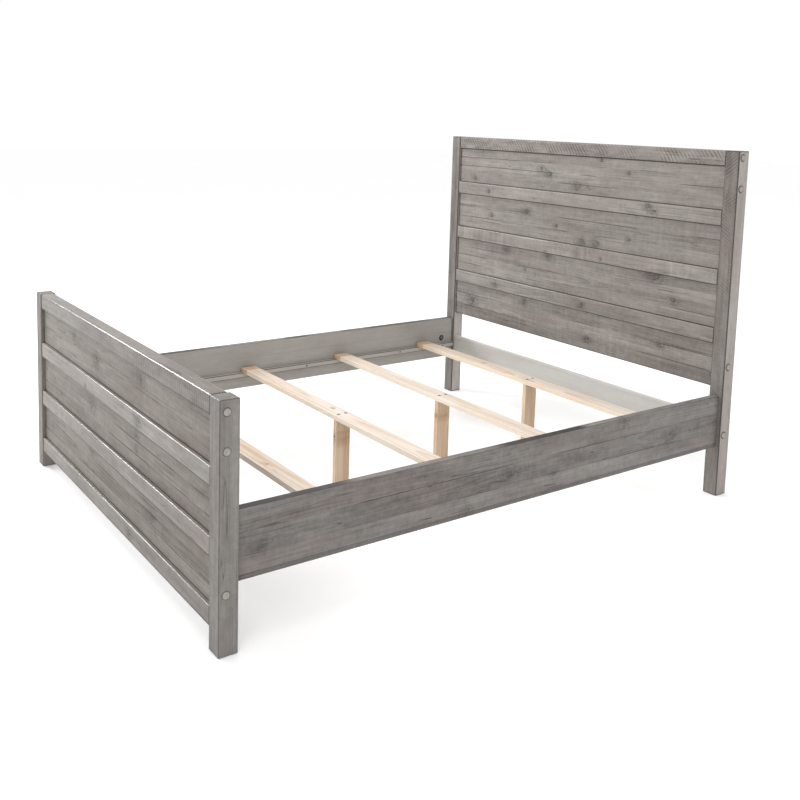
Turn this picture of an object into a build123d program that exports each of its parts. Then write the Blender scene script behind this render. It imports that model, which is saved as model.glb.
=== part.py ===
from build123d import *

import os
from collections import namedtuple

# Slatted wooden bed frame for a 60 x 80 inch mattress, with a tall headboard and a low footboard.
#
# Millimetres. The origin is on the floor, under the middle of the frame. +Y runs from the foot of
# the bed to the head, +X to the right of someone who looks that way, and +Z up. Each end is a pair
# of square posts with a panel of planks between them, held in the grooves of proud battens. Two
# side rails hang between the ends on hanger bolts and nuts. Four loose slats lie on cleats, and
# each slat stands on a leg in the middle of its span.

# The mattress and the room round it
MATTRESS_WIDTH = 1524
MATTRESS_LENGTH = 2032
MATTRESS_END_GAP = 4
MATTRESS_SIDE_GAP = 14.5

# Posts
POST = 59
POST_EDGE_RADIUS = 4
POST_TOP_RADIUS = 3.5
POST_FOOT_BEVEL = 2

# Side rails, cleats and slats
RAIL_THICKNESS = 29
RAIL_HEIGHT = 200
RAIL_BOTTOM = 190
RAIL_SET_BACK = 16.5
RAIL_EDGE_RADIUS = 4
CLEAT_DEPTH = 20
CLEAT_HEIGHT = 22
CLEAT_TOP = 265
CLEAT_END_GAP = 5
SLAT_COUNT = 4
SLAT_WIDTH = 68
SLAT_THICKNESS = 20
SLAT_END_GAP = 3
SLAT_SPACING = 493
FIRST_SLAT = 364
SLAT_EDGE_RADIUS = 1.5
LEG_WIDTH = 64
LEG_THICKNESS = 20

# Panels of the two ends
BATTEN_HEIGHT = 57
BATTEN_DEPTH = 51
BATTEN_SET_BACK = 2
BATTEN_EDGE_RADIUS = 3.5
TOP_RAIL_EDGE_RADIUS = 6
PLANK_THICKNESS = 20
PLANK_EDGE_RADIUS = 1.5
TONGUE_THICKNESS = 10
TONGUE_HEIGHT = 9.5
GROOVE_DEPTH = 10.5
GROOVE_SLACK = 0.3
STRETCHER_HEIGHT = 118
STRETCHER_THICKNESS = 22
STRETCHER_TOP = 297
STRETCHER_SET_BACK = 8

# Screws through the posts into the panels, under round wooden buttons
POST_SCREW_SET_BACK = 21
POST_SCREW_RADIUS = 3
POST_SCREW_GRIP = 50
POST_SCREW_HEAD_RADIUS = 5.5
POST_SCREW_HEAD_HEIGHT = 5
COUNTERBORE_RADIUS = 6
COUNTERBORE_DEPTH = 14
BUTTON_RADIUS = 10.25
BUTTON_HEIGHT = 4
BUTTON_DOME_RADIUS = 3
BUTTON_SHANK_RADIUS = 5.8
BUTTON_SHANK_LENGTH = 7

# Dowels
PANEL_DOWEL_RADIUS = 4
PANEL_DOWEL_LENGTH = 38
PANEL_DOWEL_SET_BACK = 38
PANEL_DOWEL_PITCH = 25
STRETCHER_DOWEL_SET_BACK = 19
STRETCHER_DOWEL_PITCH = 66
RAIL_DOWEL_RADIUS = 5
RAIL_DOWEL_LENGTH = 40
RAIL_DOWEL_PITCH = 130
DOWEL_END_SLACK = 1

# Side rail bolts
BOLT_RADIUS = 4
BOLT_IN_POST = 45
BOLT_PAST_POCKET = 4
BOLT_RAIL_HOLE_RADIUS = 4.5
POCKET_RADIUS = 15
POCKET_DEPTH = 22
POCKET_FROM_END = 68
WASHER_RADIUS = 14.6
WASHER_FLAT = 7
WASHER_HEIGHT = 14
WASHER_HOLE_RADIUS = 4.4
NUT_APOTHEM = 6.5
NUT_HEIGHT = 6.5

# Cleat and slat screws
CLEAT_SCREW_COUNT = 8
CLEAT_SCREW_PITCH = 270
CLEAT_SCREW_RADIUS = 2
CLEAT_SCREW_LENGTH = 40
SLAT_SCREW_PITCH = 32
SLAT_SCREW_RADIUS = 2.5
SLAT_SCREW_LENGTH = 60
SCREW_HEAD_RATIO = 2
HOLE_SLACK = 0.1

# Worked out from the dimensions above
RAIL_LENGTH = MATTRESS_LENGTH + 2 * MATTRESS_END_GAP
LENGTH = RAIL_LENGTH + 2 * POST
RAIL_INNER_X = MATTRESS_WIDTH / 2 + MATTRESS_SIDE_GAP
RAIL_CENTRE_X = RAIL_INNER_X + RAIL_THICKNESS / 2
RAIL_CENTRE_Z = RAIL_BOTTOM + RAIL_HEIGHT / 2
WIDTH = 2 * (RAIL_INNER_X + RAIL_THICKNESS + RAIL_SET_BACK)
POST_INNER_X = WIDTH / 2 - POST
BOARD_LENGTH = 2 * POST_INNER_X
SLAT_TOP = CLEAT_TOP + SLAT_THICKNESS

# An end of the bed: the height of its posts, the Y of their -Y faces, the side of the posts on
# which the side rails meet them, how many planks it has and how high each is, whether a batten
# closes its lower edge, how far the planks lie behind the -Y faces, and the heights of the
# screws through its posts.
End = namedtuple("End", "name height face_y rail_side planks plank_height closed plank_set_back screws")
HEAD = End("head", 1321, LENGTH / 2 - POST, -1, 4, 168.5, False, 10, (1296, 1180, 504, 238))
FOOT = End("foot", 697, -LENGTH / 2, 1, 3, 135.5, True, 13, (664, 559, 171))
SIDES = {"left": -1, "right": 1}


def save(piece, name):
    """Labels a finished piece and writes it as its own STEP file."""
    piece.label = name
    export_step(piece, f"parts/{name}.step")


def bore(start, direction, radius, depth):
    """Cuts a round hole in the part being built, from start along direction."""
    with Locations(Plane(start, z_dir=direction)):
        Cylinder(radius, depth, align=(Align.CENTER, Align.CENTER, Align.MIN), mode=Mode.SUBTRACT)


def pin(radius, length):
    """Adds a round pin that starts at the current place and runs along its +Z."""
    Cylinder(radius, length, align=(Align.CENTER, Align.CENTER, Align.MIN))


def countersunk_screw(radius, length):
    """Adds a screw whose flat head lies at the current place and whose point is along its +Z."""
    head_radius = radius * SCREW_HEAD_RATIO
    head_height = head_radius - radius
    Cone(head_radius, radius, head_height, align=(Align.CENTER, Align.CENTER, Align.MIN))
    pin(radius, length)


def panel_levels(end):
    """The boards of an end from the top down, each as its name, its lower Z and its upper Z."""
    boards = [("top_rail", BATTEN_HEIGHT)]
    for number in range(1, end.planks):
        boards += [(f"plank_{number}", end.plank_height), (f"batten_{number}", BATTEN_HEIGHT)]
    boards.append((f"plank_{end.planks}", end.plank_height))
    if end.closed:
        boards.append(("bottom_rail", BATTEN_HEIGHT))
    levels = []
    top = end.height
    for name, height in boards:
        levels.append((name, top - height, top))
        top -= height
    return levels


def panel_dowels(end):
    """The (y, z) centres of the dowels in each post of an end, its stretcher's included."""
    centres = []
    for name, low, high in panel_levels(end):
        if "plank" not in name:
            for step in (-0.5, 0.5):
                z = (low + high) / 2 + step * PANEL_DOWEL_PITCH
                centres.append((end.face_y + PANEL_DOWEL_SET_BACK, z))
    return centres


def stretcher_dowels():
    """The (y, z) centres of the stretcher's dowels in each head post."""
    middle = STRETCHER_TOP - STRETCHER_HEIGHT / 2
    y = HEAD.face_y + STRETCHER_DOWEL_SET_BACK
    return [(y, middle + step * STRETCHER_DOWEL_PITCH) for step in (-0.5, 0.5)]


def post_dowels(end):
    """The (y, z) centres of every dowel in the inner face of an end's posts."""
    if end is HEAD:
        return panel_dowels(end) + stretcher_dowels()
    return panel_dowels(end)


def rail_face_y(end):
    """The Y of the post face that a side rail's end meets."""
    return end.face_y if end.rail_side < 0 else end.face_y + POST


def rail_dowel_heights():
    """The heights of the two dowels at each end of a side rail."""
    return [RAIL_CENTRE_Z + step * RAIL_DOWEL_PITCH for step in (-0.5, 0.5)]


def corners():
    """Each place where a side rail meets a post, as the rail's side and the end."""
    return [(side, end) for side in SIDES.values() for end in (HEAD, FOOT)]


def bore_board_ends(centres, radius, depth):
    """Cuts the same holes in both ends of a board that spans the posts."""
    for side in SIDES.values():
        for y, z in centres:
            bore((side * BOARD_LENGTH / 2, y, z), (-side, 0, 0), radius, depth)


def bore_for_screws(end, low, high):
    """Cuts pilot holes in a board's ends for the post screws between two heights."""
    y = end.face_y + POST_SCREW_SET_BACK
    centres = [(y, z) for z in end.screws if low < z < high]
    bore_board_ends(centres, POST_SCREW_RADIUS + HOLE_SLACK, POST_SCREW_GRIP + DOWEL_END_SLACK)


def make_post(end, side):
    """A square post with eased edges and the holes for its screws, dowels and side rail."""
    outer_x = side * WIDTH / 2
    with BuildPart() as post:
        with BuildSketch():
            with Locations((side * (WIDTH - POST) / 2, end.face_y + POST / 2)):
                Rectangle(POST, POST)
        extrude(amount=end.height)
        fillet(post.edges().filter_by(Axis.Z), POST_EDGE_RADIUS)
        fillet(post.faces().sort_by(Axis.Z)[-1].edges(), POST_TOP_RADIUS)
        chamfer(post.faces().sort_by(Axis.Z)[0].edges(), POST_FOOT_BEVEL)
        for z in end.screws:
            mouth = (outer_x, end.face_y + POST_SCREW_SET_BACK, z)
            bore(mouth, (-side, 0, 0), COUNTERBORE_RADIUS, COUNTERBORE_DEPTH)
            bore(mouth, (-side, 0, 0), POST_SCREW_RADIUS + HOLE_SLACK, POST)
        depth = PANEL_DOWEL_LENGTH / 2 + DOWEL_END_SLACK
        for y, z in post_dowels(end):
            bore((side * POST_INNER_X, y, z), (side, 0, 0), PANEL_DOWEL_RADIUS + HOLE_SLACK, depth)
        into_post = (0, -end.rail_side, 0)
        bolt_mouth = (side * RAIL_CENTRE_X, rail_face_y(end), RAIL_CENTRE_Z)
        bore(bolt_mouth, into_post, BOLT_RADIUS + HOLE_SLACK, BOLT_IN_POST + DOWEL_END_SLACK)
        depth = RAIL_DOWEL_LENGTH / 2 + DOWEL_END_SLACK
        for z in rail_dowel_heights():
            mouth = (side * RAIL_CENTRE_X, rail_face_y(end), z)
            bore(mouth, into_post, RAIL_DOWEL_RADIUS + HOLE_SLACK, depth)
    return post.part


def make_batten(end, name, low, high):
    """A proud board of a panel, grooved along each edge that holds a plank."""
    centre_y = end.face_y + BATTEN_SET_BACK + BATTEN_DEPTH / 2
    groove_y = end.face_y + end.plank_set_back + PLANK_THICKNESS / 2
    grooved = {"top_rail": [low], "bottom_rail": [high]}.get(name, [low, high])
    with BuildPart() as batten:
        with BuildSketch(Plane.YZ.offset(-BOARD_LENGTH / 2)):
            with Locations((centre_y, (low + high) / 2)):
                Rectangle(BATTEN_DEPTH, BATTEN_HEIGHT)
        extrude(amount=BOARD_LENGTH)
        long_edges = batten.edges().filter_by(Axis.X)
        if name == "top_rail":
            fillet(long_edges.group_by(Axis.Z)[-1], TOP_RAIL_EDGE_RADIUS)
            fillet(long_edges.group_by(Axis.Z)[0], BATTEN_EDGE_RADIUS)
        else:
            fillet(long_edges, BATTEN_EDGE_RADIUS)
        with BuildSketch(Plane.YZ.offset(-BOARD_LENGTH / 2)):
            with Locations(*[(groove_y, z) for z in grooved]):
                Rectangle(TONGUE_THICKNESS + 2 * GROOVE_SLACK, 2 * GROOVE_DEPTH)
        extrude(amount=BOARD_LENGTH, mode=Mode.SUBTRACT)
        centres = [(y, z) for y, z in panel_dowels(end) if low < z < high]
        depth = PANEL_DOWEL_LENGTH / 2 + DOWEL_END_SLACK
        bore_board_ends(centres, PANEL_DOWEL_RADIUS + HOLE_SLACK, depth)
        bore_for_screws(end, low, high)
    return batten.part


def make_plank(end, low, high):
    """A recessed board of a panel, with a tongue along each edge that meets a batten."""
    centre_y = end.face_y + end.plank_set_back + PLANK_THICKNESS / 2
    edge_free = low == panel_levels(end)[-1][1]
    tongue_low = (low + high) / 2 if edge_free else low - TONGUE_HEIGHT
    tongue_high = high + TONGUE_HEIGHT
    with BuildPart() as plank:
        with BuildSketch(Plane.YZ.offset(-BOARD_LENGTH / 2)):
            with Locations((centre_y, (low + high) / 2)):
                Rectangle(PLANK_THICKNESS, high - low)
        extrude(amount=BOARD_LENGTH)
        fillet(plank.edges().filter_by(Axis.X), PLANK_EDGE_RADIUS)
        with BuildSketch(Plane.YZ.offset(-BOARD_LENGTH / 2)):
            with Locations((centre_y, (tongue_low + tongue_high) / 2)):
                Rectangle(TONGUE_THICKNESS, tongue_high - tongue_low)
        extrude(amount=BOARD_LENGTH)
        bore_for_screws(end, low, high)
    return plank.part


def make_stretcher():
    """The plain board low between the head posts, which stiffens the headboard."""
    centre_y = HEAD.face_y + STRETCHER_SET_BACK + STRETCHER_THICKNESS / 2
    low = STRETCHER_TOP - STRETCHER_HEIGHT
    with BuildPart() as stretcher:
        with BuildSketch(Plane.YZ.offset(-BOARD_LENGTH / 2)):
            with Locations((centre_y, STRETCHER_TOP - STRETCHER_HEIGHT / 2)):
                Rectangle(STRETCHER_THICKNESS, STRETCHER_HEIGHT)
        extrude(amount=BOARD_LENGTH)
        fillet(stretcher.edges().filter_by(Axis.X), BATTEN_EDGE_RADIUS)
        depth = PANEL_DOWEL_LENGTH / 2 + DOWEL_END_SLACK
        bore_board_ends(stretcher_dowels(), PANEL_DOWEL_RADIUS + HOLE_SLACK, depth)
        bore_for_screws(HEAD, low, STRETCHER_TOP)
    return stretcher.part


def cleat_screw_places(side):
    """Planes on the cleat's inner face, at its screws, with +Z out of the wood."""
    first = -(CLEAT_SCREW_COUNT - 1) * CLEAT_SCREW_PITCH / 2
    x = side * (RAIL_INNER_X - CLEAT_DEPTH)
    z = CLEAT_TOP - CLEAT_HEIGHT / 2
    ys = [first + step * CLEAT_SCREW_PITCH for step in range(CLEAT_SCREW_COUNT)]
    return [Plane((x, y, z), z_dir=(-side, 0, 0)) for y in ys]


def make_side_rail(side):
    """A wide board on edge, with a bolt hole, two dowel holes and a nut pocket at each end."""
    with BuildPart() as rail:
        with BuildSketch(Plane.XZ.offset(-RAIL_LENGTH / 2)):
            with Locations((side * RAIL_CENTRE_X, RAIL_CENTRE_Z)):
                Rectangle(RAIL_THICKNESS, RAIL_HEIGHT)
        extrude(amount=RAIL_LENGTH)
        fillet(rail.edges().filter_by(Axis.Y), RAIL_EDGE_RADIUS)
        for end in (HEAD, FOOT):
            into_rail = (0, end.rail_side, 0)
            end_y = rail_face_y(end)
            pocket = (side * RAIL_INNER_X, end_y + end.rail_side * POCKET_FROM_END, RAIL_CENTRE_Z)
            bore(pocket, (side, 0, 0), POCKET_RADIUS, POCKET_DEPTH)
            bolt_mouth = (side * RAIL_CENTRE_X, end_y, RAIL_CENTRE_Z)
            bore(bolt_mouth, into_rail, BOLT_RAIL_HOLE_RADIUS, POCKET_FROM_END)
            depth = RAIL_DOWEL_LENGTH / 2 + DOWEL_END_SLACK
            for z in rail_dowel_heights():
                mouth = (side * RAIL_CENTRE_X, end_y, z)
                bore(mouth, into_rail, RAIL_DOWEL_RADIUS + HOLE_SLACK, depth)
        for place in cleat_screw_places(side):
            start = (side * RAIL_INNER_X, place.origin.Y, place.origin.Z)
            depth = CLEAT_SCREW_LENGTH - CLEAT_DEPTH + DOWEL_END_SLACK
            bore(start, (side, 0, 0), CLEAT_SCREW_RADIUS + HOLE_SLACK, depth)
    return rail.part


def make_cleat(side):
    """The strip along a side rail on which the slats lie."""
    with BuildPart() as cleat:
        with BuildSketch(Plane.XZ.offset(-(RAIL_LENGTH / 2 - CLEAT_END_GAP))):
            with Locations((side * (RAIL_INNER_X - CLEAT_DEPTH / 2), CLEAT_TOP - CLEAT_HEIGHT / 2)):
                Rectangle(CLEAT_DEPTH, CLEAT_HEIGHT)
        extrude(amount=RAIL_LENGTH - 2 * CLEAT_END_GAP)
        fillet(cleat.edges().filter_by(Axis.Y), SLAT_EDGE_RADIUS)
        with Locations(*cleat_screw_places(side)):
            hole_radius = CLEAT_SCREW_RADIUS + HOLE_SLACK
            CounterSinkHole(hole_radius, hole_radius + CLEAT_SCREW_RADIUS, CLEAT_DEPTH)
    return cleat.part


def make_cleat_screws(side):
    """The countersunk screws that hold a cleat to its side rail."""
    with BuildPart() as screws:
        with Locations(*[Plane(p.origin, z_dir=-p.z_dir) for p in cleat_screw_places(side)]):
            countersunk_screw(CLEAT_SCREW_RADIUS, CLEAT_SCREW_LENGTH)
    return screws.part


def slat_y(number):
    """The Y of the middle of a slat, counted from 0 at the foot."""
    return -RAIL_LENGTH / 2 + FIRST_SLAT + number * SLAT_SPACING


def slat_screw_places(number, z):
    """The centres of a slat's two screws at a height."""
    return [(0, slat_y(number) + step * SLAT_SCREW_PITCH, z) for step in (-0.5, 0.5)]


def make_slat(number):
    """A loose slat across the cleats, countersunk for the two screws into its leg."""
    with BuildPart() as slat:
        with BuildSketch(Plane.XY.offset(CLEAT_TOP)):
            with Locations((0, slat_y(number))):
                Rectangle(2 * (RAIL_INNER_X - SLAT_END_GAP), SLAT_WIDTH)
        extrude(amount=SLAT_THICKNESS)
        fillet(slat.edges(), SLAT_EDGE_RADIUS)
        with Locations(*slat_screw_places(number, SLAT_TOP)):
            hole_radius = SLAT_SCREW_RADIUS + HOLE_SLACK
            CounterSinkHole(hole_radius, hole_radius + SLAT_SCREW_RADIUS, SLAT_THICKNESS)
    return slat.part


def make_slat_leg(number):
    """The leg on which the middle of a slat stands."""
    with BuildPart() as leg:
        with BuildSketch():
            with Locations((0, slat_y(number))):
                Rectangle(LEG_THICKNESS, LEG_WIDTH)
        extrude(amount=CLEAT_TOP)
        fillet(leg.edges().filter_by(Axis.Z), SLAT_EDGE_RADIUS)
        depth = SLAT_SCREW_LENGTH - SLAT_THICKNESS + DOWEL_END_SLACK
        for start in slat_screw_places(number, CLEAT_TOP):
            bore(start, (0, 0, -1), SLAT_SCREW_RADIUS + HOLE_SLACK, depth)
    return leg.part


def make_slat_screws(number):
    """The two countersunk screws that hold a slat to its leg."""
    with BuildPart() as screws:
        with Locations(*[Plane(p, z_dir=(0, 0, -1)) for p in slat_screw_places(number, SLAT_TOP)]):
            countersunk_screw(SLAT_SCREW_RADIUS, SLAT_SCREW_LENGTH)
    return screws.part


def post_screw_places(end, side, depth):
    """Planes on the axes of a post's screws, at a depth behind its outer face, +Z out of the post."""
    x = side * (WIDTH / 2 - depth)
    y = end.face_y + POST_SCREW_SET_BACK
    return [Plane((x, y, z), z_dir=(side, 0, 0)) for z in end.screws]


def make_buttons(end, side):
    """The domed wooden buttons that plug a post's screw holes."""
    outermost = -1 if side > 0 else 0
    with BuildPart() as buttons:
        with Locations(*post_screw_places(end, side, 0)):
            pin(BUTTON_RADIUS, BUTTON_HEIGHT)
        rims = buttons.edges().filter_by(GeomType.CIRCLE).group_by(Axis.X)[outermost]
        fillet(rims, BUTTON_DOME_RADIUS)
        with Locations(*post_screw_places(end, side, BUTTON_SHANK_LENGTH)):
            pin(BUTTON_SHANK_RADIUS, BUTTON_SHANK_LENGTH)
    return buttons.part


def make_post_screws(end, side):
    """The cylinder-head screws from a post into its panel boards."""
    length = POST - COUNTERBORE_DEPTH + POST_SCREW_GRIP
    with BuildPart() as screws:
        with Locations(*post_screw_places(end, side, COUNTERBORE_DEPTH)):
            pin(POST_SCREW_HEAD_RADIUS, POST_SCREW_HEAD_HEIGHT)
        with Locations(*post_screw_places(end, side, COUNTERBORE_DEPTH + length)):
            pin(POST_SCREW_RADIUS, length)
    return screws.part


def make_panel_dowels(end):
    """The dowels that place an end's boards on its posts."""
    start = POST_INNER_X - PANEL_DOWEL_LENGTH / 2
    with BuildPart() as dowels:
        for side in SIDES.values():
            with Locations(*[Plane((side * start, y, z), z_dir=(side, 0, 0)) for y, z in post_dowels(end)]):
                pin(PANEL_DOWEL_RADIUS, PANEL_DOWEL_LENGTH)
    return dowels.part


def make_rail_dowels():
    """The dowels that place the side rails on the posts."""
    with BuildPart() as dowels:
        for side, end in corners():
            start = rail_face_y(end) - end.rail_side * RAIL_DOWEL_LENGTH / 2
            centres = [(side * RAIL_CENTRE_X, start, z) for z in rail_dowel_heights()]
            with Locations(*[Plane(centre, z_dir=(0, end.rail_side, 0)) for centre in centres]):
                pin(RAIL_DOWEL_RADIUS, RAIL_DOWEL_LENGTH)
    return dowels.part


def make_hanger_bolts():
    """The bolts that stick out of the posts into the side rails' pockets."""
    with BuildPart() as bolts:
        for side, end in corners():
            start = (side * RAIL_CENTRE_X, rail_face_y(end) - end.rail_side * BOLT_IN_POST, RAIL_CENTRE_Z)
            with Locations(Plane(start, z_dir=(0, end.rail_side, 0))):
                pin(BOLT_RADIUS, BOLT_IN_POST + POCKET_FROM_END + BOLT_PAST_POCKET)
    return bolts.part


def pocket_y(end):
    """The Y of the middle of the nut pockets at an end."""
    return rail_face_y(end) + end.rail_side * POCKET_FROM_END


def make_half_moon_washers():
    """The half-round blocks that spread each nut's pull over its pocket's wall."""
    overlap = 1
    with BuildPart() as washers:
        for side, end in corners():
            inner_x = side * (RAIL_CENTRE_X - WASHER_HEIGHT / 2)
            cut = -end.rail_side * WASHER_FLAT + end.rail_side * (WASHER_RADIUS + overlap)
            with BuildSketch(Plane.YZ.offset(inner_x)):
                with Locations((pocket_y(end), RAIL_CENTRE_Z)):
                    Circle(WASHER_RADIUS)
                with Locations((pocket_y(end) + cut, RAIL_CENTRE_Z)):
                    side_length = 2 * (WASHER_RADIUS + overlap)
                    Rectangle(side_length, side_length, mode=Mode.SUBTRACT)
            extrude(amount=side * WASHER_HEIGHT)
            hole = (side * RAIL_CENTRE_X, pocket_y(end), RAIL_CENTRE_Z)
            bore(hole, (0, -end.rail_side, 0), WASHER_HOLE_RADIUS, 2 * WASHER_RADIUS)
    return washers.part


def make_rail_nuts():
    """The hexagon nuts on the hanger bolts, tight against the half-round blocks."""
    with BuildPart() as nuts:
        for side, end in corners():
            seat = pocket_y(end) - end.rail_side * WASHER_FLAT
            seat_plane = Plane((side * RAIL_CENTRE_X, seat, RAIL_CENTRE_Z), z_dir=(0, end.rail_side, 0))
            with BuildSketch(seat_plane):
                RegularPolygon(NUT_APOTHEM, 6, major_radius=False)
                Circle(BOLT_RADIUS + HOLE_SLACK, mode=Mode.SUBTRACT)
            extrude(amount=NUT_HEIGHT)
    return nuts.part


os.makedirs("parts", exist_ok=True)

for bed_end in (HEAD, FOOT):
    for board, board_low, board_high in panel_levels(bed_end):
        if "plank" in board:
            save(make_plank(bed_end, board_low, board_high), f"{bed_end.name}_{board}")
        else:
            save(make_batten(bed_end, board, board_low, board_high), f"{bed_end.name}_{board}")
    for side_name, side_sign in SIDES.items():
        save(make_post(bed_end, side_sign), f"{bed_end.name}_post_{side_name}")
        save(make_post_screws(bed_end, side_sign), f"{bed_end.name}_post_screws_{side_name}")
        save(make_buttons(bed_end, side_sign), f"{bed_end.name}_buttons_{side_name}")
    save(make_panel_dowels(bed_end), f"{bed_end.name}_panel_dowels")
save(make_stretcher(), "head_stretcher")

for side_name, side_sign in SIDES.items():
    save(make_side_rail(side_sign), f"side_rail_{side_name}")
    save(make_cleat(side_sign), f"cleat_{side_name}")
    save(make_cleat_screws(side_sign), f"cleat_screws_{side_name}")
save(make_rail_dowels(), "rail_dowels")
save(make_hanger_bolts(), "rail_hanger_bolts")
save(make_half_moon_washers(), "rail_half_moon_washers")
save(make_rail_nuts(), "rail_nuts")

for slat in range(SLAT_COUNT):
    save(make_slat(slat), f"slat_{slat + 1}")
    save(make_slat_leg(slat), f"slat_leg_{slat + 1}")
    save(make_slat_screws(slat), f"slat_screws_{slat + 1}")
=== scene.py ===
import math

import bpy
from mathutils import Matrix, Vector


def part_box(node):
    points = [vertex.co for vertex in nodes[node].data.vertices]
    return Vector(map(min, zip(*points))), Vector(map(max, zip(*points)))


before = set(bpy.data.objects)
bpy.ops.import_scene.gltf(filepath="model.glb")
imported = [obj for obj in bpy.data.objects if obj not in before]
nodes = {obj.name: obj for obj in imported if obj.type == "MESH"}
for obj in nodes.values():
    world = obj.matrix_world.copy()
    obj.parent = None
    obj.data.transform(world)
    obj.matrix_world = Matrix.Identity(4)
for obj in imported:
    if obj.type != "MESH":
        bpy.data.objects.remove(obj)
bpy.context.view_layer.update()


# ---------------------------------------------------------------- helpers

def rgb(red, green, blue):
    """A screen colour of 0 to 255 a channel as a linear colour."""
    linear = []
    for channel in (red, green, blue):
        c = channel / 255
        linear.append(c / 12.92 if c <= 0.04045 else ((c + 0.055) / 1.055) ** 2.4)
    return (*linear, 1.0)


class Graph:
    """Builds one material's nodes. A value may be a number or another node's output."""

    def __init__(self, name):
        self.material = bpy.data.materials.new(name)
        self.material.use_nodes = True
        self.tree = self.material.node_tree
        self.tree.nodes.clear()
        where = self.node("ShaderNodeTexCoord")
        self.position = self.split(where.outputs["Object"])
        self.normal = self.split(where.outputs["Normal"])

    def node(self, kind, **settings):
        made = self.tree.nodes.new(kind)
        for key, value in settings.items():
            setattr(made, key, value)
        return made

    def feed(self, socket, value):
        if isinstance(value, bpy.types.NodeSocket):
            self.tree.links.new(value, socket)
        else:
            socket.default_value = value

    def split(self, vector):
        parts = self.node("ShaderNodeSeparateXYZ")
        self.feed(parts.inputs[0], vector)
        return parts.outputs[0], parts.outputs[1], parts.outputs[2]

    def math(self, operation, *values):
        made = self.node("ShaderNodeMath", operation=operation)
        for socket, value in zip(made.inputs, values):
            self.feed(socket, value)
        return made.outputs[0]

    def add(self, *values):
        total = values[0]
        for value in values[1:]:
            total = self.math("ADD", total, value)
        return total

    def mul(self, *values):
        product = values[0]
        for value in values[1:]:
            product = self.math("MULTIPLY", product, value)
        return product

    def sub(self, a, b):
        return self.math("SUBTRACT", a, b)

    def length(self, a, b):
        return self.math("SQRT", self.add(self.mul(a, a), self.mul(b, b)))

    def vector(self, x, y, z):
        made = self.node("ShaderNodeCombineXYZ")
        for socket, value in zip(made.inputs, (x, y, z)):
            self.feed(socket, value)
        return made.outputs[0]

    def noise(self, x, y, z, detail=2.0, rough=0.5):
        made = self.node("ShaderNodeTexNoise")
        self.feed(made.inputs["Vector"], self.vector(x, y, z))
        made.inputs["Scale"].default_value = 1.0
        made.inputs["Detail"].default_value = detail
        made.inputs["Roughness"].default_value = rough
        return made.outputs[0]

    def swing(self, x, y, z, detail=2.0, rough=0.5):
        """Noise round zero, about -0.5 to 0.5."""
        return self.sub(self.noise(x, y, z, detail, rough), 0.5)

    def random(self, value):
        made = self.node("ShaderNodeTexWhiteNoise", noise_dimensions="1D")
        self.feed(made.inputs["W"], value)
        return made.outputs["Value"]

    def rise(self, value, low, high):
        """0 below low, 1 above high, smooth between."""
        made = self.node("ShaderNodeMapRange", interpolation_type="SMOOTHSTEP")
        for socket, v in zip(made.inputs, (value, low, high, 0.0, 1.0)):
            self.feed(socket, v)
        return made.outputs[0]

    def fall(self, value, low, high):
        """1 below low, 0 above high, smooth between."""
        made = self.node("ShaderNodeMapRange", interpolation_type="SMOOTHSTEP")
        for socket, v in zip(made.inputs, (value, low, high, 1.0, 0.0)):
            self.feed(socket, v)
        return made.outputs[0]

    def near(self, value, centre, low, high):
        """1 where value is within low of centre, 0 further than high from it."""
        return self.fall(self.math("ABSOLUTE", self.sub(value, centre)), low, high)

    def patches(self, x, y, z, detail, low, high, rough=0.5):
        """Noise as patches of 0 and 1, with smooth edges where it goes from low to high."""
        return self.rise(self.noise(x, y, z, detail, rough), low, high)

    def square_to(self, axis, low=0.6, high=0.9):
        """1 on the faces that are square to an axis, 0 on the others."""
        return self.rise(self.math("ABSOLUTE", self.normal[axis]), low, high)

    def mix(self, factor, a, b):
        made = self.node("ShaderNodeMix", data_type="RGBA")
        self.feed(made.inputs[0], factor)
        self.feed(made.inputs[6], a)
        self.feed(made.inputs[7], b)
        return made.outputs[2]

    def shade(self, colour, brightness):
        made = self.node("ShaderNodeMix", data_type="RGBA", blend_type="MULTIPLY")
        made.inputs[0].default_value = 1.0
        self.feed(made.inputs[6], colour)
        tint = self.node("ShaderNodeCombineColor")
        for socket in tint.inputs[:3]:
            self.feed(socket, brightness)
        self.feed(made.inputs[7], tint.outputs[0])
        return made.outputs[2]

    def finish(self, colour, roughness, height_mm, **constants):
        """Ends the material. height_mm is the relief in millimetres, and each constant has the name of the
        shader's socket that it is set on."""
        shader = self.node("ShaderNodeBsdfPrincipled")
        self.feed(shader.inputs["Base Color"], colour)
        self.feed(shader.inputs["Roughness"], roughness)
        for socket, value in constants.items():
            shader.inputs[socket.replace("_", " ")].default_value = value
        bump = self.node("ShaderNodeBump")
        bump.inputs["Strength"].default_value = 1.0
        bump.inputs["Distance"].default_value = 0.001
        self.feed(bump.inputs["Height"], height_mm)
        self.feed(shader.inputs["Normal"], bump.outputs[0])
        out = self.node("ShaderNodeOutputMaterial")
        self.feed(out.inputs["Surface"], shader.outputs[0])
        return self.material


def dress(node, material):
    """Gives a CAD node that one material."""
    slots = nodes[node].data.materials
    slots.clear()
    slots.append(material)


# ---------------------------------------------------------------- wood

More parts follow.
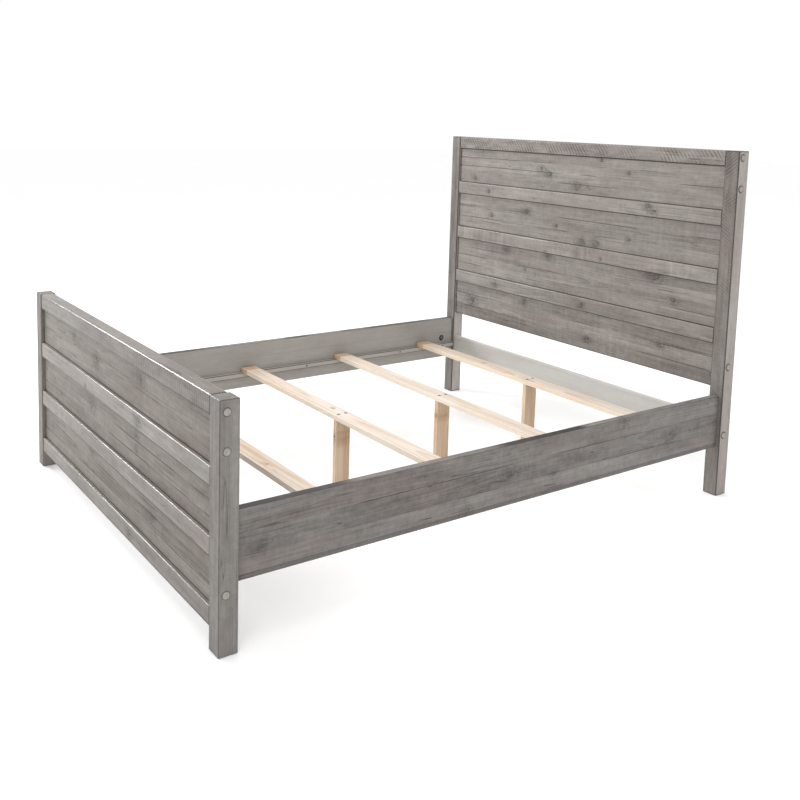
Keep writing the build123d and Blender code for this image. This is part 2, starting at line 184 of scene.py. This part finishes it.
# What a board looks like: its colours, how strong each kind of mark is (0 is none), the widths of the dark
# lines in metres, and the shader's constants. The other looks change some of the grey one's values.
GREY = {
    "light": rgb(140, 135, 129),
    "warm": rgb(128, 120, 115),
    "dark": rgb(62, 56, 51),
    "deep": rgb(28, 24, 21),
    "rub": rgb(160, 155, 148),
    "ring": 0.30,
    "ring_gap": 0.0052,
    "streak": 0.70,
    "blotch": 0.62,
    "mottle": 0.62,
    "scuff": 0.50,
    "tone": 0.22,
    "glue": 0.85,
    "hair": 0.60,
    "knot": 1.0,
    "seam": 0.0,
    "end_seam": 0.0,
    "end_width": 0.0036,
    "ledge": 0.0,
    "corner": 0.0,
    "corner_width": 0.0030,
    "band": 0.0,
    "side": 0.0,
    "cut": 0.12,
    "inner": 0.0,
    "inner_tone": rgb(157, 153, 148),
    "worn": 0.4,
    "rim": 0.0019,
    "rim_stain": 0.8,
    "rim_radius": 0.0114,
    "rim_axes": (1, 2),
    "grain": None,
    "gloss": 0.0,
    "top_gloss": 0.0,
    "tan_end": 0.0,
    "hatch": (),  # groups of saw marks: slope, curve, pitch, strength, and the fractions along where they lie
    "chatter": 0.0,
    "roughness": 0.56,
    "specular": 0.30,
    "coat": 0.15,
}


def look(base, **changes):
    """A look that differs from another in some of its values."""
    return {**base, **changes}


seeds = iter(range(1, 200))

# Which of x, y and z is along a board's grain, across it, and through its thickness. A slat lies flat.
ORDERS = {"x": (0, 2, 1), "x_flat": (0, 1, 2), "y": (1, 2, 0), "z": (2, 0, 1)}

KNOT_RING = 0.013  # between the dark lines that curl round a knot
BAND_HEIGHT = 0.0155  # of the darker band along a side rail's lower edge
BAND_LINE = 0.0016  # half the width of the dark line on top of the band
ZONE_FADE = 0.04  # over which saw marks start and stop
# The two distances from a board's edge, its end or a glue line between which a mark fades from full to none.
GLUE_FADE = (0.0005, 0.0017)
RUB_FADE = (0.0008, 0.0036)
SEAM_FADE = (0.0012, 0.0052)
LEDGE_FADE = (0.0044, 0.0072)
GLOSS_FADE = (0.0024, 0.0048)
TOP_GLOSS_FADE = (0.0020, 0.0040)
TOP_FADE = (0.0036, 0.0050)
TAN_FADE = (0.050, 0.058)


def board(node, along, style, strips=1, knots=(), visible=None, rims=()):
    """Wood for a CAD node, with its grain along one of ORDERS. All lengths are in metres.
    knots are (fraction along, fraction across, radius). visible is the board's lowest and highest corner
    where a part of it is hidden in a joint. rims are the centres of the buttons or screw heads in its face,
    round which a dark ring of painted shade stands for the shadow in the gap or recess."""
    g = Graph(node)
    seed = next(seeds) * 1.37
    order = ORDERS[along]
    low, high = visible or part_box(node)

    # The place along the grain, across it, and through the thickness, and the board's limits there.
    l, w, t = (g.position[i] for i in order)
    (l0, w0, t0), (l1, w1, t1) = ([corner[i] for i in order] for corner in (low, high))

    # The board is glued up from strips, each with its own grain and tone.
    strip_width = (w1 - w0) / strips
    across = g.math("DIVIDE", g.sub(w, w0), strip_width)
    index = g.math("FLOOR", across)
    pick = g.random(g.add(index, seed * 7.3))
    pick_two = g.random(g.add(index, seed * 11.9 + 50))
    gl = g.add(l, seed * 3.7, g.mul(pick, 5.0))
    cross = g.add(w, g.mul(t, 0.83))

    # Knots bend the rings round them.
    wobble = g.swing(g.mul(gl, 38), g.mul(w, 55), g.mul(t, 8), 4.0, 0.65)
    core, rim, swirl, bend, halo = 0.0, 0.0, 0.0, 0.0, 0.0
    for far, up, size in knots:
        kl, kw = l0 + far * (l1 - l0), w0 + up * (w1 - w0)
        reach = g.length(g.mul(g.sub(l, kl), 0.62), g.sub(w, kw))
        reach = g.add(reach, g.mul(wobble, size * 2.6))
        core = g.math("MAXIMUM", core, g.fall(reach, size * 0.05, size * 0.55))
        crescent = g.rise(g.sub(l, kl), -size, size * 0.8)
        outline = g.near(reach, size * 0.95, size * 0.08, size * 0.42)
        rim = g.math("MAXIMUM", rim, g.mul(outline, g.add(0.12, g.mul(crescent, 0.88))))
        curl = g.near(g.math("FRACT", g.math("DIVIDE", reach, KNOT_RING)), 0.5, 0.06, 0.34)
        swirl = g.math("MAXIMUM", swirl, g.mul(curl, g.fall(reach, size * 1.4, size * 3.6), crescent))
        close = g.fall(reach, size * 0.4, size * 3.2)
        halo = g.math("MAXIMUM", halo, close)
        bend = g.add(bend, g.mul(close, close, size * 2.2))
    if knots:
        broken = g.patches(g.mul(l, 85), g.mul(w, 85), seed + 6, 2.0, 0.36, 0.52)
        rim = g.mul(rim, broken)
        swirl = g.mul(swirl, broken)

    # Growth rings round a pith that wanders behind the face.
    drift = g.swing(g.mul(gl, 0.9), g.mul(pick, 20), seed, 1.0)
    lean = g.swing(g.mul(gl, 1.3), g.mul(pick, 20), seed + 9, 1.0)
    ripple = g.swing(g.mul(gl, 11), g.mul(w, 30), g.mul(t, 30))
    off_centre = g.sub(w, (w0 + w1) / 2)
    aside = g.add(off_centre, g.mul(g.sub(pick, 0.5), 0.05), g.mul(drift, 0.09), g.mul(ripple, 0.0035))
    behind = g.add(g.sub(t, (t0 + t1) / 2), g.add(0.035, g.mul(pick_two, 0.04)), g.mul(lean, 0.05))
    radius = g.add(g.length(aside, behind), bend)
    ring = g.math("FRACT", g.math("DIVIDE", radius, style["ring_gap"]))
    late = g.mul(g.mul(ring, ring), g.fall(ring, 0.86, 1.0))
    ends = g.square_to(order[0])
    figure = g.patches(g.mul(gl, 1.7), g.mul(cross, 22), seed, 2.0, 0.30, 0.62)
    late = g.mul(late, g.add(g.mul(ends, 0.5), figure, halo))

    # Streaks along the grain, blotches of stain, and fine fibres.
    streak = g.swing(g.mul(gl, 2.6), g.mul(w, 120), g.mul(t, 120), 3.0, 0.6)
    mottle = g.swing(g.mul(gl, 16), g.mul(w, 34), g.mul(t, 34), 4.0, 0.65)
    scuff = g.swing(g.mul(gl, 75), g.mul(w, 48), g.mul(t, 48), 4.0, 0.7)
    fibre = g.swing(g.mul(gl, 22), g.mul(w, 800), g.mul(t, 800), 2.0)
    blotch = g.swing(g.mul(gl, 3.2), g.mul(w, 12), g.mul(t, 12), 4.0, 0.62)
    hue = g.patches(g.add(g.mul(gl, 2.1), 40), g.mul(w, 9), g.mul(t, 9), 3.0, 0.36, 0.64)

    # Hairline checks: long thin dark lines where the stain has settled.
    thread = g.near(g.noise(g.mul(gl, 1.9), g.mul(cross, 46), seed + 21, 1.0), 0.5, 0.002, 0.014)
    hair = g.mul(thread, g.patches(g.mul(gl, 5.5), g.mul(cross, 30), seed + 4, 2.0, 0.52, 0.62))

    # Glue lines between the strips, broken along their length.
    glue = 0.0
    if strips > 1:
        apart = g.mul(g.sub(0.5, g.math("ABSOLUTE", g.sub(g.math("FRACT", across), 0.5))), strip_width)
        broken = g.patches(g.mul(l, 2.4), g.math("ROUND", across), seed + 3, 2.0, 0.46, 0.56)
        glue = g.mul(g.fall(apart, *GLUE_FADE), broken)

    # Distance to the nearest edge between two faces of the board.
    dl = g.math("MINIMUM", g.sub(l, l0), g.sub(l1, l))
    dw = g.math("MINIMUM", g.sub(w, w0), g.sub(w1, w))
    dt = g.math("MINIMUM", g.sub(t, t0), g.sub(t1, t))
    edge = g.math(
        "MAXIMUM",
        g.math("MINIMUM", dl, dw),
        g.math("MINIMUM", g.math("MAXIMUM", dl, dw), dt),
    )
    ragged = g.add(edge, g.mul(g.swing(g.mul(l, 70), g.mul(w, 70), g.mul(t, 70), 3.0, 0.6), 0.006))
    rubbed = g.mul(g.fall(ragged, *RUB_FADE), style["worn"])

    # Saw marks across the grain on the rough faces, in patches.
    front = g.square_to(order[2], 0.55, 0.85)
    hatch = 0.0
    for slope, curve, pitch, amount, first, last in style["hatch"]:
        jitter = g.mul(g.swing(g.mul(l, 16), g.mul(w, 10), seed), 0.010)
        travel = g.add(l, g.mul(off_centre, slope), g.mul(off_centre, off_centre, curve), jitter)
        stroke = g.near(g.math("FRACT", g.math("DIVIDE", travel, pitch)), 0.5, 0.06, 0.30)
        patch = g.patches(g.mul(l, 9), g.mul(w, 22), seed + 5, 3.0, 0.38, 0.58)
        start, stop = (l0 + part * (l1 - l0) for part in (first, last))
        zone = g.mul(
            g.rise(l, start - ZONE_FADE, start + ZONE_FADE),
            g.fall(l, stop - ZONE_FADE, stop + ZONE_FADE),
        )
        hatch = g.math("MAXIMUM", hatch, g.mul(stroke, patch, zone, amount, front))
    chatter = 0.0
    if style["chatter"]:
        beat = g.swing(g.mul(l, 55), g.mul(w, 3), seed + 2, 1.0)
        calm = g.patches(g.mul(l, 2.2), seed, 0.0, 1.0, 0.36, 0.56)
        chatter = g.mul(beat, calm, front, style["chatter"])

    # Brightness, then colour.
    bright = g.add(
        1.0,
        g.mul(g.sub(pick, 0.5), style["tone"]),
        g.mul(blotch, style["blotch"]),
        g.mul(streak, style["streak"]),
        g.mul(mottle, style["mottle"]),
        g.mul(fibre, 0.10),
        g.mul(scuff, style["scuff"]),
        g.mul(late, -style["ring"]),
        g.mul(halo, -0.16 * style["knot"]),
        g.mul(chatter, 0.75),
        g.mul(g.square_to(order[1]), style["side"]),
        g.mul(ends, style["cut"]),
    )
    colour = g.shade(g.mix(hue, style["light"], style["warm"]), bright)
    if style["grain"]:
        colour = g.mix(g.mul(late, 0.7), colour, style["grain"])
    colour = g.mix(g.mul(core, g.add(0.62, g.mul(wobble, 1.2)), style["knot"]), colour, style["dark"])
    colour = g.mix(g.mul(rim, g.add(0.78, g.mul(wobble, 1.2)), style["knot"]), colour, style["dark"])
    colour = g.mix(g.mul(swirl, 0.34), colour, style["dark"])
    colour = g.mix(g.mul(hair, style["hair"]), colour, style["dark"])
    colour = g.mix(g.mul(hatch, 0.75), colour, style["dark"])
    colour = g.mix(rubbed, colour, style["rub"])
    colour = g.mix(g.mul(glue, style["glue"]), colour, style["deep"])
    if style["band"]:
        band = g.fall(g.sub(w, w0), 0.014, BAND_HEIGHT)
        colour = g.mix(g.mul(band, style["band"]), colour, style["dark"])
        line = g.near(g.sub(w, w0), BAND_HEIGHT, BAND_LINE / 4, BAND_LINE)
        colour = g.mix(g.mul(line, 0.5), colour, style["deep"])
    if style["inner"]:
        to_middle = -1 if low[0] + high[0] > 0 else 1
        inner = g.rise(g.mul(g.normal[0], to_middle), 0.6, 0.9)
        tone = g.add(1.0, g.mul(blotch, 0.25), g.mul(mottle, 0.18), g.mul(streak, 0.15))
        plain = g.shade(style["inner_tone"], tone)
        colour = g.mix(g.mul(inner, style["inner"]), colour, plain)
    # Painted shadow: the slats' far ends, where the side rail casts its shadow, turn darker and browner.
    if style["tan_end"]:
        far_end = g.mul(g.fall(g.sub(l, l0), *TAN_FADE), style["tan_end"])
        colour = g.mix(far_end, colour, g.shade(style["tan"], bright))
    # Painted shade: a dark ring round each button or screw head, for the shadow in the gap or recess round
    # it.
    if rims:
        first, second = style["rim_axes"]
        third = 3 - first - second
        stained = g.mul(g.square_to(third), g.add(style["rim_stain"], wobble))
    for p, q in rims:
        distance = g.length(g.sub(g.position[first], p), g.sub(g.position[second], q))
        stain = g.near(distance, style["rim_radius"], style["rim"] * 0.3, style["rim"])
        colour = g.mix(g.mul(stain, stained), colour, style["deep"])
    if style["corner"]:
        corner = g.fall(edge, 0.0006, style["corner_width"])
        colour = g.mix(g.mul(corner, style["corner"]), colour, style["deep"])
    # Painted shade in the corners where a plank meets the boards above and below it and the posts at its
    # ends.
    if style["seam"]:
        gap = g.math("MINIMUM", dw, dl)
        colour = g.mix(g.mul(g.fall(gap, *SEAM_FADE), style["seam"]), colour, style["deep"])
    # Painted shade: a dark line along the board's lower edge, for the shadow below a proud batten.
    if style["ledge"]:
        under = g.fall(g.sub(w, w0), *LEDGE_FADE)
        colour = g.mix(g.mul(under, style["ledge"]), colour, style["deep"])
    # Painted shadow at the board's ends, in the gap where it butts against the posts.
    if style["end_seam"]:
        end_line = g.fall(dl, style["end_width"] * 0.28, style["end_width"])
        colour = g.mix(g.mul(end_line, style["end_seam"]), colour, style["deep"])

    rough = g.add(
        style["roughness"],
        g.mul(blotch, 0.16),
        g.mul(hatch, 0.18),
        g.mul(late, -0.08),
        g.mul(core, -0.08),
    )
    if style["gloss"]:
        rough = g.sub(rough, g.mul(g.fall(edge, *GLOSS_FADE), style["gloss"]))
    if style["top_gloss"]:
        top_edge = g.mul(g.fall(edge, *TOP_GLOSS_FADE), g.fall(g.sub(l1, l), *TOP_FADE))
        rough = g.sub(rough, g.mul(top_edge, style["top_gloss"]))
    height = g.add(
        g.mul(late, 0.10),
        g.mul(fibre, 0.07),
        g.mul(streak, 0.10),
        g.mul(hatch, -0.45),
        g.mul(glue, -0.50),
        g.mul(core, -0.15),
        g.mul(chatter, 0.50),
        g.mul(g.swing(g.mul(l, 9), g.mul(w, 26), g.mul(t, 26), 2.0), 0.5),
        g.mul(rubbed, g.mul(wobble, 0.6)),
    )
    dress(node, g.finish(
        colour,
        rough,
        height,
        Coat_Weight=style["coat"],
        Coat_Roughness=0.12,
        Specular_IOR_Level=style["specular"],
    ))


# ---------------------------------------------------------------- the grey boards

POST_LOOK = look(
    GREY,
    light=rgb(120, 116, 112),
    warm=rgb(111, 104, 100),
    corner=0.85,
    side=0.08,
    cut=-0.03,
    rim_stain=0.45,
    coat=0.05,
    specular=0.2,
    worn=0.2,
)
FOOT_POST_LOOK = look(POST_LOOK, top_gloss=0.46)
HEAD_POST_LOOK = look(
    POST_LOOK,
    side=0.86,
    rim=0.0048,
    rim_stain=0.8,
    corner_width=0.0058,
    hatch=(
        (-0.75, 0.0, 0.0135, 0.75, 0.84, 1.0),
        (0.62, 0.0, 0.0125, 0.5, 0.25, 0.86),
    ),
)
BATTEN_LOOK = look(
    GREY,
    light=rgb(131, 126, 121),
    warm=rgb(121, 114, 110),
    coat=0.10,
    specular=0.2,
    gloss=0.40,
    worn=0.3,
    end_seam=0.85,
)
HEAD_TOP_LOOK = look(
    BATTEN_LOOK,
    corner=0.7,
    worn=0.0,
    gloss=0.1,
    hatch=((0.7, 4.0, 0.0175, 0.75, 0.0, 1.0),),
)
FOOT_BATTEN_LOOK = look(
    BATTEN_LOOK,
    warm=rgb(122, 115, 111),
    gloss=0.48,
    worn=0.2,
    ledge=0.85,
    end_width=0.0068,
)
FOOT_EDGE_LOOK = look(FOOT_BATTEN_LOOK, light=rgb(127, 122, 117), warm=rgb(118, 111, 107))
FOOT_TOP_LOOK = look(FOOT_EDGE_LOOK, end_width=0.0125, hatch=((0.15, 3.0, 0.014, 0.5, 0.3, 1.0),))
PLANK_LOOK = look(
    GREY,
    light=rgb(131, 126, 121),
    warm=rgb(120, 113, 109),
    seam=0.9,
    worn=0.0,
    coat=0.05,
    specular=0.25,
    chatter=0.25,
)
FOOT_PLANK_LOOK = look(
    PLANK_LOOK,
    light=rgb(124, 119, 113),
    warm=rgb(114, 107, 102),
    knot=0.75,
    coat=0.0,
    specular=0.15,
)
RAIL_LOOK = look(
    GREY,
    light=rgb(118, 114, 110),
    warm=rgb(109, 102, 98),
    rub=rgb(146, 141, 136),
    knot=0.55,
    hair=0.85,
    mottle=0.75,
    scuff=0.65,
    inner=0.85,
    corner=0.6,
    worn=0.3,
    band=0.45,
)
SMOOTH_LOOK = look(
    GREY,
    light=rgb(178, 176, 172),
    warm=rgb(170, 166, 160),
    dark=rgb(116, 110, 104),
    rub=rgb(186, 183, 178),
    mottle=0.10,
    scuff=0.06,
    ring=0.08,
    streak=0.12,
    blotch=0.16,
    tone=0.05,
    hair=0.0,
    worn=0.2,
    coat=0.1,
)
CLEAT_LOOK = look(
    SMOOTH_LOOK,
    light=rgb(166, 161, 154),
    warm=rgb(158, 152, 145),
    dark=rgb(78, 72, 66),
    ring=0.12,
    streak=0.2,
    # On the cleat, the dark edges are painted shade where it meets the rail.
    corner=0.9,
    corner_width=0.0044,
)

# The buttons' heights on the outer faces of the posts, and how far they lie behind the posts' front faces.
BUTTON_SET_BACK = 0.021
for end, post_look, heights in (
    ("head", HEAD_POST_LOOK, (1.296, 1.180, 0.504, 0.238)),
    ("foot", FOOT_POST_LOOK, (0.664, 0.559, 0.171)),
):
    for side in ("left", "right"):
        post = f"{end}_post_{side}"
        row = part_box(post)[0][1] + BUTTON_SET_BACK
        board(post, "z", post_look, rims=[(row, height) for height in heights])

board("head_top_rail", "x", HEAD_TOP_LOOK)
board("foot_top_rail", "x", FOOT_TOP_LOOK)
board("head_batten_1", "x", BATTEN_LOOK, knots=(
    (0.145, 0.4, 0.009), (0.77, 0.72, 0.011), (0.79, 0.38, 0.009)))
board("head_batten_2", "x", look(BATTEN_LOOK, chatter=1.0), knots=((0.62, 0.3, 0.005),))
board("head_batten_3", "x", BATTEN_LOOK, knots=((0.19, 0.45, 0.010), (0.555, 0.4, 0.010)))
board("foot_batten_1", "x", FOOT_BATTEN_LOOK, knots=((0.34, 0.3, 0.006), (0.66, 0.5, 0.011)))
board("foot_batten_2", "x", look(FOOT_BATTEN_LOOK, chatter=0.5))
board("foot_bottom_rail", "x", look(FOOT_EDGE_LOOK, chatter=0.4), knots=((0.61, 0.5, 0.009),))


def plank(node, above, below, strips, knots, style=PLANK_LOOK):
    """A panel plank. It shows between the posts, and between the boards above and below it."""
    low, high = (Vector(corner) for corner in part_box(node))
    end = node.split("_")[0]
    low.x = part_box(f"{end}_post_left")[1][0]
    high.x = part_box(f"{end}_post_right")[0][0]
    high.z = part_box(above)[0][2]
    if below:
        low.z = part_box(below)[1][2]
    board(node, "x", style, strips, knots, (low, high))


plank("head_plank_1", "head_top_rail", "head_batten_1", 4, (
    (0.37, 0.56, 0.010), (0.40, 0.46, 0.013), (0.51, 0.20, 0.013),
    (0.60, 0.93, 0.006), (0.70, 0.64, 0.006), (0.07, 0.15, 0.010)))
plank("head_plank_2", "head_batten_1", "head_batten_2", 3, (
    (0.155, 0.45, 0.008), (0.31, 0.68, 0.012), (0.44, 0.43, 0.006),
    (0.54, 0.11, 0.012), (0.59, 0.12, 0.013), (0.71, 0.36, 0.007)))
plank("head_plank_3", "head_batten_2", "head_batten_3", 4, (
    (0.235, 0.86, 0.011), (0.41, 0.95, 0.010), (0.32, 0.42, 0.006),
    (0.80, 0.93, 0.017), (0.87, 0.44, 0.008)))
plank("head_plank_4", "head_batten_3", None, 3, (
    (0.07, 0.52, 0.020), (0.32, 0.84, 0.009), (0.58, 0.30, 0.010), (0.83, 0.62, 0.009)),
    look(PLANK_LOOK, chatter=0.45))
plank("foot_plank_1", "foot_top_rail", "foot_batten_1", 2, (
    (0.24, 0.78, 0.010), (0.39, 0.50, 0.015), (0.65, 0.76, 0.017)), FOOT_PLANK_LOOK)
plank("foot_plank_2", "foot_batten_1", "foot_batten_2", 3, (
    (0.36, 0.72, 0.017), (0.63, 0.80, 0.013), (0.635, 0.46, 0.008)), FOOT_PLANK_LOOK)
plank("foot_plank_3", "foot_batten_2", "foot_bottom_rail", 3, (
    (0.355, 0.86, 0.010), (0.71, 0.60, 0.012)), FOOT_PLANK_LOOK)

board("head_stretcher", "x", SMOOTH_LOOK)
board("side_rail_right", "y", RAIL_LOOK, 3, (
    (0.03, 0.42, 0.012), (0.387, 0.10, 0.009), (0.471, 0.53, 0.012),
    (0.57, 0.33, 0.007), (0.737, 0.95, 0.010), (0.864, 0.47, 0.014)))
board("side_rail_left", "y", RAIL_LOOK, 3, ((0.2, 0.6, 0.012), (0.55, 0.35, 0.014), (0.9, 0.4, 0.009)))
for side in ("left", "right"):
    board(f"cleat_{side}", "y", CLEAT_LOOK)


# ---------------------------------------------------------------- bare pine

SLAT_LOOK = look(
    GREY,
    light=rgb(209, 200, 189),
    warm=rgb(202, 188, 172),
    dark=rgb(140, 92, 56),
    deep=rgb(104, 72, 48),
    rub=rgb(238, 226, 210),
    grain=rgb(210, 166, 122),
    # The colour and strength of the painted shadow that the side rail casts on the slats' far ends.
    tan=rgb(178, 148, 114),
    tan_end=0.8,
    ring=0.33,
    ring_gap=0.0055,
    streak=0.30,
    blotch=0.12,
    mottle=0.08,
    scuff=0.0,
    tone=0.06,
    hair=0.25,
    side=0.18,
    cut=0.0,
    worn=0.3,
    rim=0.0028,
    rim_radius=0.0052,
    rim_axes=(0, 1),
    roughness=0.62,
    coat=0.0,
)
LEG_LOOK = look(
    SLAT_LOOK,
    light=rgb(208, 187, 162),
    warm=rgb(197, 170, 142),
    rub=rgb(232, 212, 186),
    grain=rgb(176, 128, 84),
    ring=0.25,
    ring_gap=0.0075,
    streak=0.5,
    side=-0.14,
    tan_end=0.0,
)
SLAT_KNOTS = {1: ((0.7, 0.4, 0.006),), 2: ((0.45, 0.6, 0.005),), 3: (), 4: ((0.3, 0.5, 0.006),)}
LEG_KNOTS = {1: (), 2: ((0.72, 0.42, 0.009),), 3: ((0.75, 0.5, 0.007),), 4: ((0.2, 0.5, 0.006),)}
SLAT_SCREW_OFFSET = 0.016  # from the slat's middle to each of its two screws
for n in range(1, 5):
    low, high = (Vector(corner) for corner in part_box(f"slat_{n}"))
    middle = (low + high) / 2
    heads = [(middle.x, middle.y + offset) for offset in (-SLAT_SCREW_OFFSET, SLAT_SCREW_OFFSET)]
    board(f"slat_{n}", "x_flat", SLAT_LOOK, knots=SLAT_KNOTS[n], rims=heads)
    board(f"slat_leg_{n}", "z", LEG_LOOK, knots=LEG_KNOTS[n])


# ---------------------------------------------------------------- small parts

def speckled(name, one, two, dark, roughness, scale, relief, **constants):
    """A small part's material: two tones in patches, with fine marks and relief."""
    g = Graph(name)
    x, y, z = g.position
    patch = g.patches(*(g.mul(v, scale) for v in (x, y, z)), 3.0, 0.35, 0.65, rough=0.6)
    fine = g.swing(*(g.mul(v, scale * 7) for v in (x, y, z)), 2.0)
    spot = g.patches(*(g.mul(v, scale * 2.2) for v in (x, y, z)), 3.0, 0.60, 0.70, rough=0.7)
    colour = g.shade(g.mix(patch, one, two), g.add(1.0, g.mul(fine, 0.25)))
    colour = g.mix(g.mul(spot, 0.6), colour, dark)
    rough = g.add(roughness, g.mul(fine, 0.25), g.mul(spot, 0.10))
    return g.finish(colour, rough, g.mul(g.add(fine, g.mul(spot, -0.6)), relief), **constants)


BUTTON = speckled(
    "turned_button", rgb(150, 144, 138), rgb(136, 129, 124), rgb(92, 85, 80), 0.45, 130, 0.08,
    Coat_Weight=0.3, Coat_Roughness=0.2)
ZINC = speckled(
    "zinc_plate", rgb(190, 190, 186), rgb(160, 160, 158), rgb(96, 92, 86), 0.32, 260, 0.02, Metallic=1.0)
DARK_SCREW = speckled(
    "dark_screw", rgb(40, 36, 33), rgb(28, 25, 23), rgb(66, 52, 42), 0.6, 400, 0.02)
BEECH = speckled(
    "beech", rgb(214, 184, 146), rgb(200, 166, 126), rgb(160, 120, 84), 0.55, 300, 0.04)

for node in nodes:
    if "buttons" in node:
        dress(node, BUTTON)
    elif "dowels" in node:
        dress(node, BEECH)
    elif "slat_screws" in node or "cleat_screws" in node:
        dress(node, DARK_SCREW)
    elif "screws" in node or "bolts" in node or "nuts" in node or "washers" in node:
        dress(node, ZINC)


# ---------------------------------------------------------------- floor, light and camera

FLOOR_REACH = 30.0  # from the middle of the floor to its edges
FLOOR_DROP = 0.0005  # keeps the floor clear of the undersides of the posts


def floor():
    """One pale plane, which is not part of the bed."""
    mesh = bpy.data.meshes.new("floor")
    signs = ((-1, -1), (1, -1), (1, 1), (-1, 1))
    mesh.from_pydata([(x * FLOOR_REACH, y * FLOOR_REACH, 0) for x, y in signs], [], [(0, 1, 2, 3)])
    plane = bpy.data.objects.new("floor", mesh)
    plane.location.z = -FLOOR_DROP
    bpy.context.scene.collection.objects.link(plane)
    g = Graph("pale_floor")
    x, y, z = g.position
    tone = g.noise(g.mul(x, 0.8), g.mul(y, 0.8), 0.0, 3.0)
    colour = g.mix(tone, (0.98, 0.98, 0.98, 1), (0.96, 0.96, 0.96, 1))
    mesh.materials.append(g.finish(colour, 0.85, g.mul(tone, 0.05)))


def lamp(name, place, aim, size, power):
    """A softbox that faces a point and isn't seen by the camera."""
    data = bpy.data.lights.new(name, "AREA")
    data.shape = "RECTANGLE"
    data.size, data.size_y = size
    data.energy = power
    light = bpy.data.objects.new(name, data)
    light.location = place
    light.rotation_euler = (Vector(aim) - Vector(place)).to_track_quat("-Z", "Y").to_euler()
    light.visible_camera = False
    bpy.context.scene.collection.objects.link(light)


floor()
world = bpy.data.worlds.new("studio")
world.use_nodes = True
background = world.node_tree.nodes["Background"]
background.inputs["Color"].default_value = (1, 1, 1, 1)
background.inputs["Strength"].default_value = 1.02
bpy.context.scene.world = world
bpy.context.scene.view_settings.view_transform = "Standard"

lamp("left_softbox", (-5.2, -2.9, 3.1), (0.3, -1.0, 0.5), (2.2, 1.6), 240)
lamp("front_softbox", (4.2, -4.6, 4.6), (0.0, 0.0, 0.4), (1.6, 1.6), 40)
lamp("top_softbox", (0.0, 0.0, 4.6), (0.0, 0.0, 0.0), (5.0, 5.0), 90)

SENSOR = 36.0  # millimetres
FOCAL_LENGTH = 42.903  # millimetres
SHIFT_X, SHIFT_Y = 0.05625, -0.2175  # of the lens, in widths of the image
CAMERA_PLACE = Vector((2.9475, -2.1149, 1.4279))
YAW, PITCH, ROLL = (math.radians(angle) for angle in (55.963, 6.769, 1.361))
back = Vector((math.sin(YAW) * math.cos(PITCH), -math.cos(YAW) * math.cos(PITCH), math.sin(PITCH)))
right = Vector((math.cos(YAW), math.sin(YAW), 0.0))
up = back.cross(right)
turned_right = right * math.cos(ROLL) + up * math.sin(ROLL)
turned_up = up * math.cos(ROLL) - right * math.sin(ROLL)
lens = bpy.data.cameras.new("camera")
lens.sensor_width = SENSOR
lens.lens = FOCAL_LENGTH
lens.shift_x = SHIFT_X
lens.shift_y = SHIFT_Y
camera = bpy.data.objects.new("camera", lens)
turned = Matrix((turned_right, turned_up, back)).transposed()
camera.matrix_world = Matrix.Translation(CAMERA_PLACE) @ turned.to_4x4()
bpy.context.scene.collection.objects.link(camera)
bpy.context.scene.camera = camera
